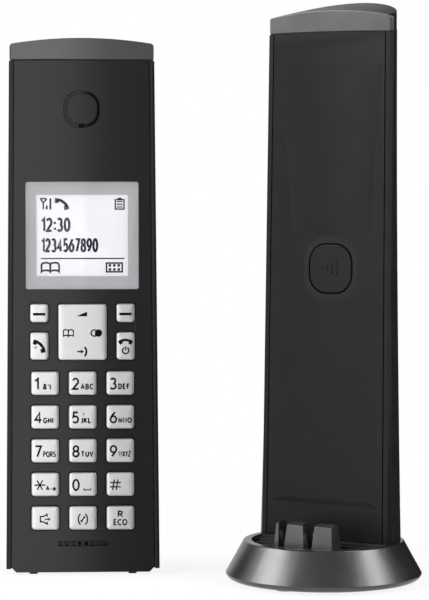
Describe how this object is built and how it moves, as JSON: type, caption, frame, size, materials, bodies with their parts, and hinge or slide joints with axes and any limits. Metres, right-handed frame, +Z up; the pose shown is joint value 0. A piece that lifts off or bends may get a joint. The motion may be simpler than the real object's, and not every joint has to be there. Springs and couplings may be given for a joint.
{
  "type": "cordless phone with charging tower",
  "caption": "Slim upright cordless handset with keypad and display, standing beside a tall charging tower on a round foot with a paging button.",
  "frame": {"origin": "middle of the tower's round foot, on the table", "axes": "+Z up; the tower faces -Y; +X to the viewer's right when facing the tower"},
  "size_m": [0.1303, 0.0781, 0.1823],
  "materials": {
    "black_plastic": "satin moulded",
    "grey_metallic": "satin metallic paint",
    "silver_key": "satin silver",
    "clear_window": "clear gloss",
    "lcd_glass": "lit display",
    "white_plastic": "white diffuser",
    "rubber": "matte",
    "steel": "plated",
    "contact_metal": "nickel plated",
    "circuit_board": "solder mask",
    "switch_plastic": "moulded",
    "socket_plastic": "moulded",
    "speaker_metal": "satin",
    "mesh_fabric": "fine mesh",
    "battery_sleeve": "plain sleeve"
  },
  "bodies": {
    "tower": {"foot_cover": "grey_metallic", "bottom_plate": "black_plastic", "rubber_feet": "rubber", "tower_screws": "steel", "column_rear_shell": "black_plastic", "column_front_panel": "black_plastic", "column_top_cap": "black_plastic", "column_cap_trim": "grey_metallic", "paging_switch": "switch_plastic", "tower_circuit_board": "circuit_board", "charge_cradle": "grey_metallic", "charge_contacts": "contact_metal", "line_jack": "socket_plastic", "power_jack": "socket_plastic"},
    "handset": {"handset_rear_case": "black_plastic", "handset_faceplate": "black_plastic", "handset_top_cap": "grey_metallic", "display_window": "clear_window", "lcd_panel": "lcd_glass", "backlight": "white_plastic", "keypad_mat": "rubber", "handset_circuit_board": "circuit_board", "earpiece_receiver": "speaker_metal", "earpiece_mesh": "mesh_fabric", "microphone": "speaker_metal", "handset_speaker": "speaker_metal", "battery_cells": "battery_sleeve", "battery_springs": "contact_metal", "battery_terminals": "contact_metal", "handset_charge_contacts": "contact_metal", "handset_screws": "steel"},
    "paging_button": {"paging_button": "black_plastic"},
    "battery_cover": {"battery_cover": "black_plastic"},
    "navigator_pivot": {"navigator_pivot": "rubber"},
    "navigator_key": {"navigator_key": "silver_key"},
    "soft_key_left": {"soft_key_left": "silver_key"},
    "soft_key_right": {"soft_key_right": "silver_key"},
    "talk_key": {"talk_key": "silver_key"},
    "off_key": {"off_key": "silver_key"},
    "key_1": {"key_1": "silver_key"},
    "key_2": {"key_2": "silver_key"},
    "key_3": {"key_3": "silver_key"},
    "key_4": {"key_4": "silver_key"},
    "key_5": {"key_5": "silver_key"},
    "key_6": {"key_6": "silver_key"},
    "key_7": {"key_7": "silver_key"},
    "key_8": {"key_8": "silver_key"},
    "key_9": {"key_9": "silver_key"},
    "key_star": {"key_star": "silver_key"},
    "key_0": {"key_0": "silver_key"},
    "key_hash": {"key_hash": "silver_key"},
    "key_speaker": {"key_speaker": "silver_key"},
    "key_intercom": {"key_intercom": "silver_key"},
    "key_recall": {"key_recall": "silver_key"}
  },
  "joints": [
    {"name": "handset_lift", "type": "slide", "parent": "tower", "child": "handset", "axis": [0, 0, 1], "range_m": [0, 0.2]},
    {"name": "paging_press", "type": "slide", "parent": "tower", "child": "paging_button", "axis": [0, 0.9999, -0.016], "range_m": [0, 0.0006], "stiffness_N_per_m": 800},
    {"name": "battery_cover_slide", "type": "slide", "parent": "handset", "child": "battery_cover", "axis": [0, 0, -1], "range_m": [0, 0.01]},
    {"name": "navigator_up_down", "type": "hinge", "parent": "handset", "child": "navigator_pivot", "pos_m": [-0.07169, -0.03035, 0.07775], "axis": [0.81, 0.5864, 0], "range_deg": [-1.6, 1.6], "stiffness_Nm_per_rad": 0.05},
    {"name": "navigator_left_right", "type": "hinge", "parent": "navigator_pivot", "child": "navigator_key", "pos_m": [-0.07169, -0.03035, 0.07775], "axis": [0, 0, 1], "range_deg": [-1.6, 1.6], "stiffness_Nm_per_rad": 0.05},
    {"name": "soft_key_left_press", "type": "slide", "parent": "handset", "child": "soft_key_left", "axis": [-0.5864, 0.81, 0], "range_m": [0, 0.0006], "stiffness_N_per_m": 600},
    {"name": "soft_key_right_press", "type": "slide", "parent": "handset", "child": "soft_key_right", "axis": [-0.5864, 0.81, 0], "range_m": [0, 0.0006], "stiffness_N_per_m": 600},
    {"name": "talk_key_press", "type": "slide", "parent": "handset", "child": "talk_key", "axis": [-0.5864, 0.81, 0], "range_m": [0, 0.0006], "stiffness_N_per_m": 600},
    {"name": "off_key_press", "type": "slide", "parent": "handset", "child": "off_key", "axis": [-0.5864, 0.81, 0], "range_m": [0, 0.0006], "stiffness_N_per_m": 600},
    {"name": "key_1_press", "type": "slide", "parent": "handset", "child": "key_1", "axis": [-0.5864, 0.81, 0], "range_m": [0, 0.0006], "stiffness_N_per_m": 600},
    {"name": "key_2_press", "type": "slide", "parent": "handset", "child": "key_2", "axis": [-0.5864, 0.81, 0], "range_m": [0, 0.0006], "stiffness_N_per_m": 600},
    {"name": "key_3_press", "type": "slide", "parent": "handset", "child": "key_3", "axis": [-0.5864, 0.81, 0], "range_m": [0, 0.0006], "stiffness_N_per_m": 600},
    {"name": "key_4_press", "type": "slide", "parent": "handset", "child": "key_4", "axis": [-0.5864, 0.81, 0], "range_m": [0, 0.0006], "stiffness_N_per_m": 600},
    {"name": "key_5_press", "type": "slide", "parent": "handset", "child": "key_5", "axis": [-0.5864, 0.81, 0], "range_m": [0, 0.0006], "stiffness_N_per_m": 600},
    {"name": "key_6_press", "type": "slide", "parent": "handset", "child": "key_6", "axis": [-0.5864, 0.81, 0], "range_m": [0, 0.0006], "stiffness_N_per_m": 600},
    {"name": "key_7_press", "type": "slide", "parent": "handset", "child": "key_7", "axis": [-0.5864, 0.81, 0], "range_m": [0, 0.0006], "stiffness_N_per_m": 600},
    {"name": "key_8_press", "type": "slide", "parent": "handset", "child": "key_8", "axis": [-0.5864, 0.81, 0], "range_m": [0, 0.0006], "stiffness_N_per_m": 600},
    {"name": "key_9_press", "type": "slide", "parent": "handset", "child": "key_9", "axis": [-0.5864, 0.81, 0], "range_m": [0, 0.0006], "stiffness_N_per_m": 600},
    {"name": "key_star_press", "type": "slide", "parent": "handset", "child": "key_star", "axis": [-0.5864, 0.81, 0], "range_m": [0, 0.0006], "stiffness_N_per_m": 600},
    {"name": "key_0_press", "type": "slide", "parent": "handset", "child": "key_0", "axis": [-0.5864, 0.81, 0], "range_m": [0, 0.0006], "stiffness_N_per_m": 600},
    {"name": "key_hash_press", "type": "slide", "parent": "handset", "child": "key_hash", "axis": [-0.5864, 0.81, 0], "range_m": [0, 0.0006], "stiffness_N_per_m": 600},
    {"name": "key_speaker_press", "type": "slide", "parent": "handset", "child": "key_speaker", "axis": [-0.5864, 0.81, 0], "range_m": [0, 0.0006], "stiffness_N_per_m": 600},
    {"name": "key_intercom_press", "type": "slide", "parent": "handset", "child": "key_intercom", "axis": [-0.5864, 0.81, 0], "range_m": [0, 0.0006], "stiffness_N_per_m": 600},
    {"name": "key_recall_press", "type": "slide", "parent": "handset", "child": "key_recall", "axis": [-0.5864, 0.81, 0], "range_m": [0, 0.0006], "stiffness_N_per_m": 600}
  ]
}
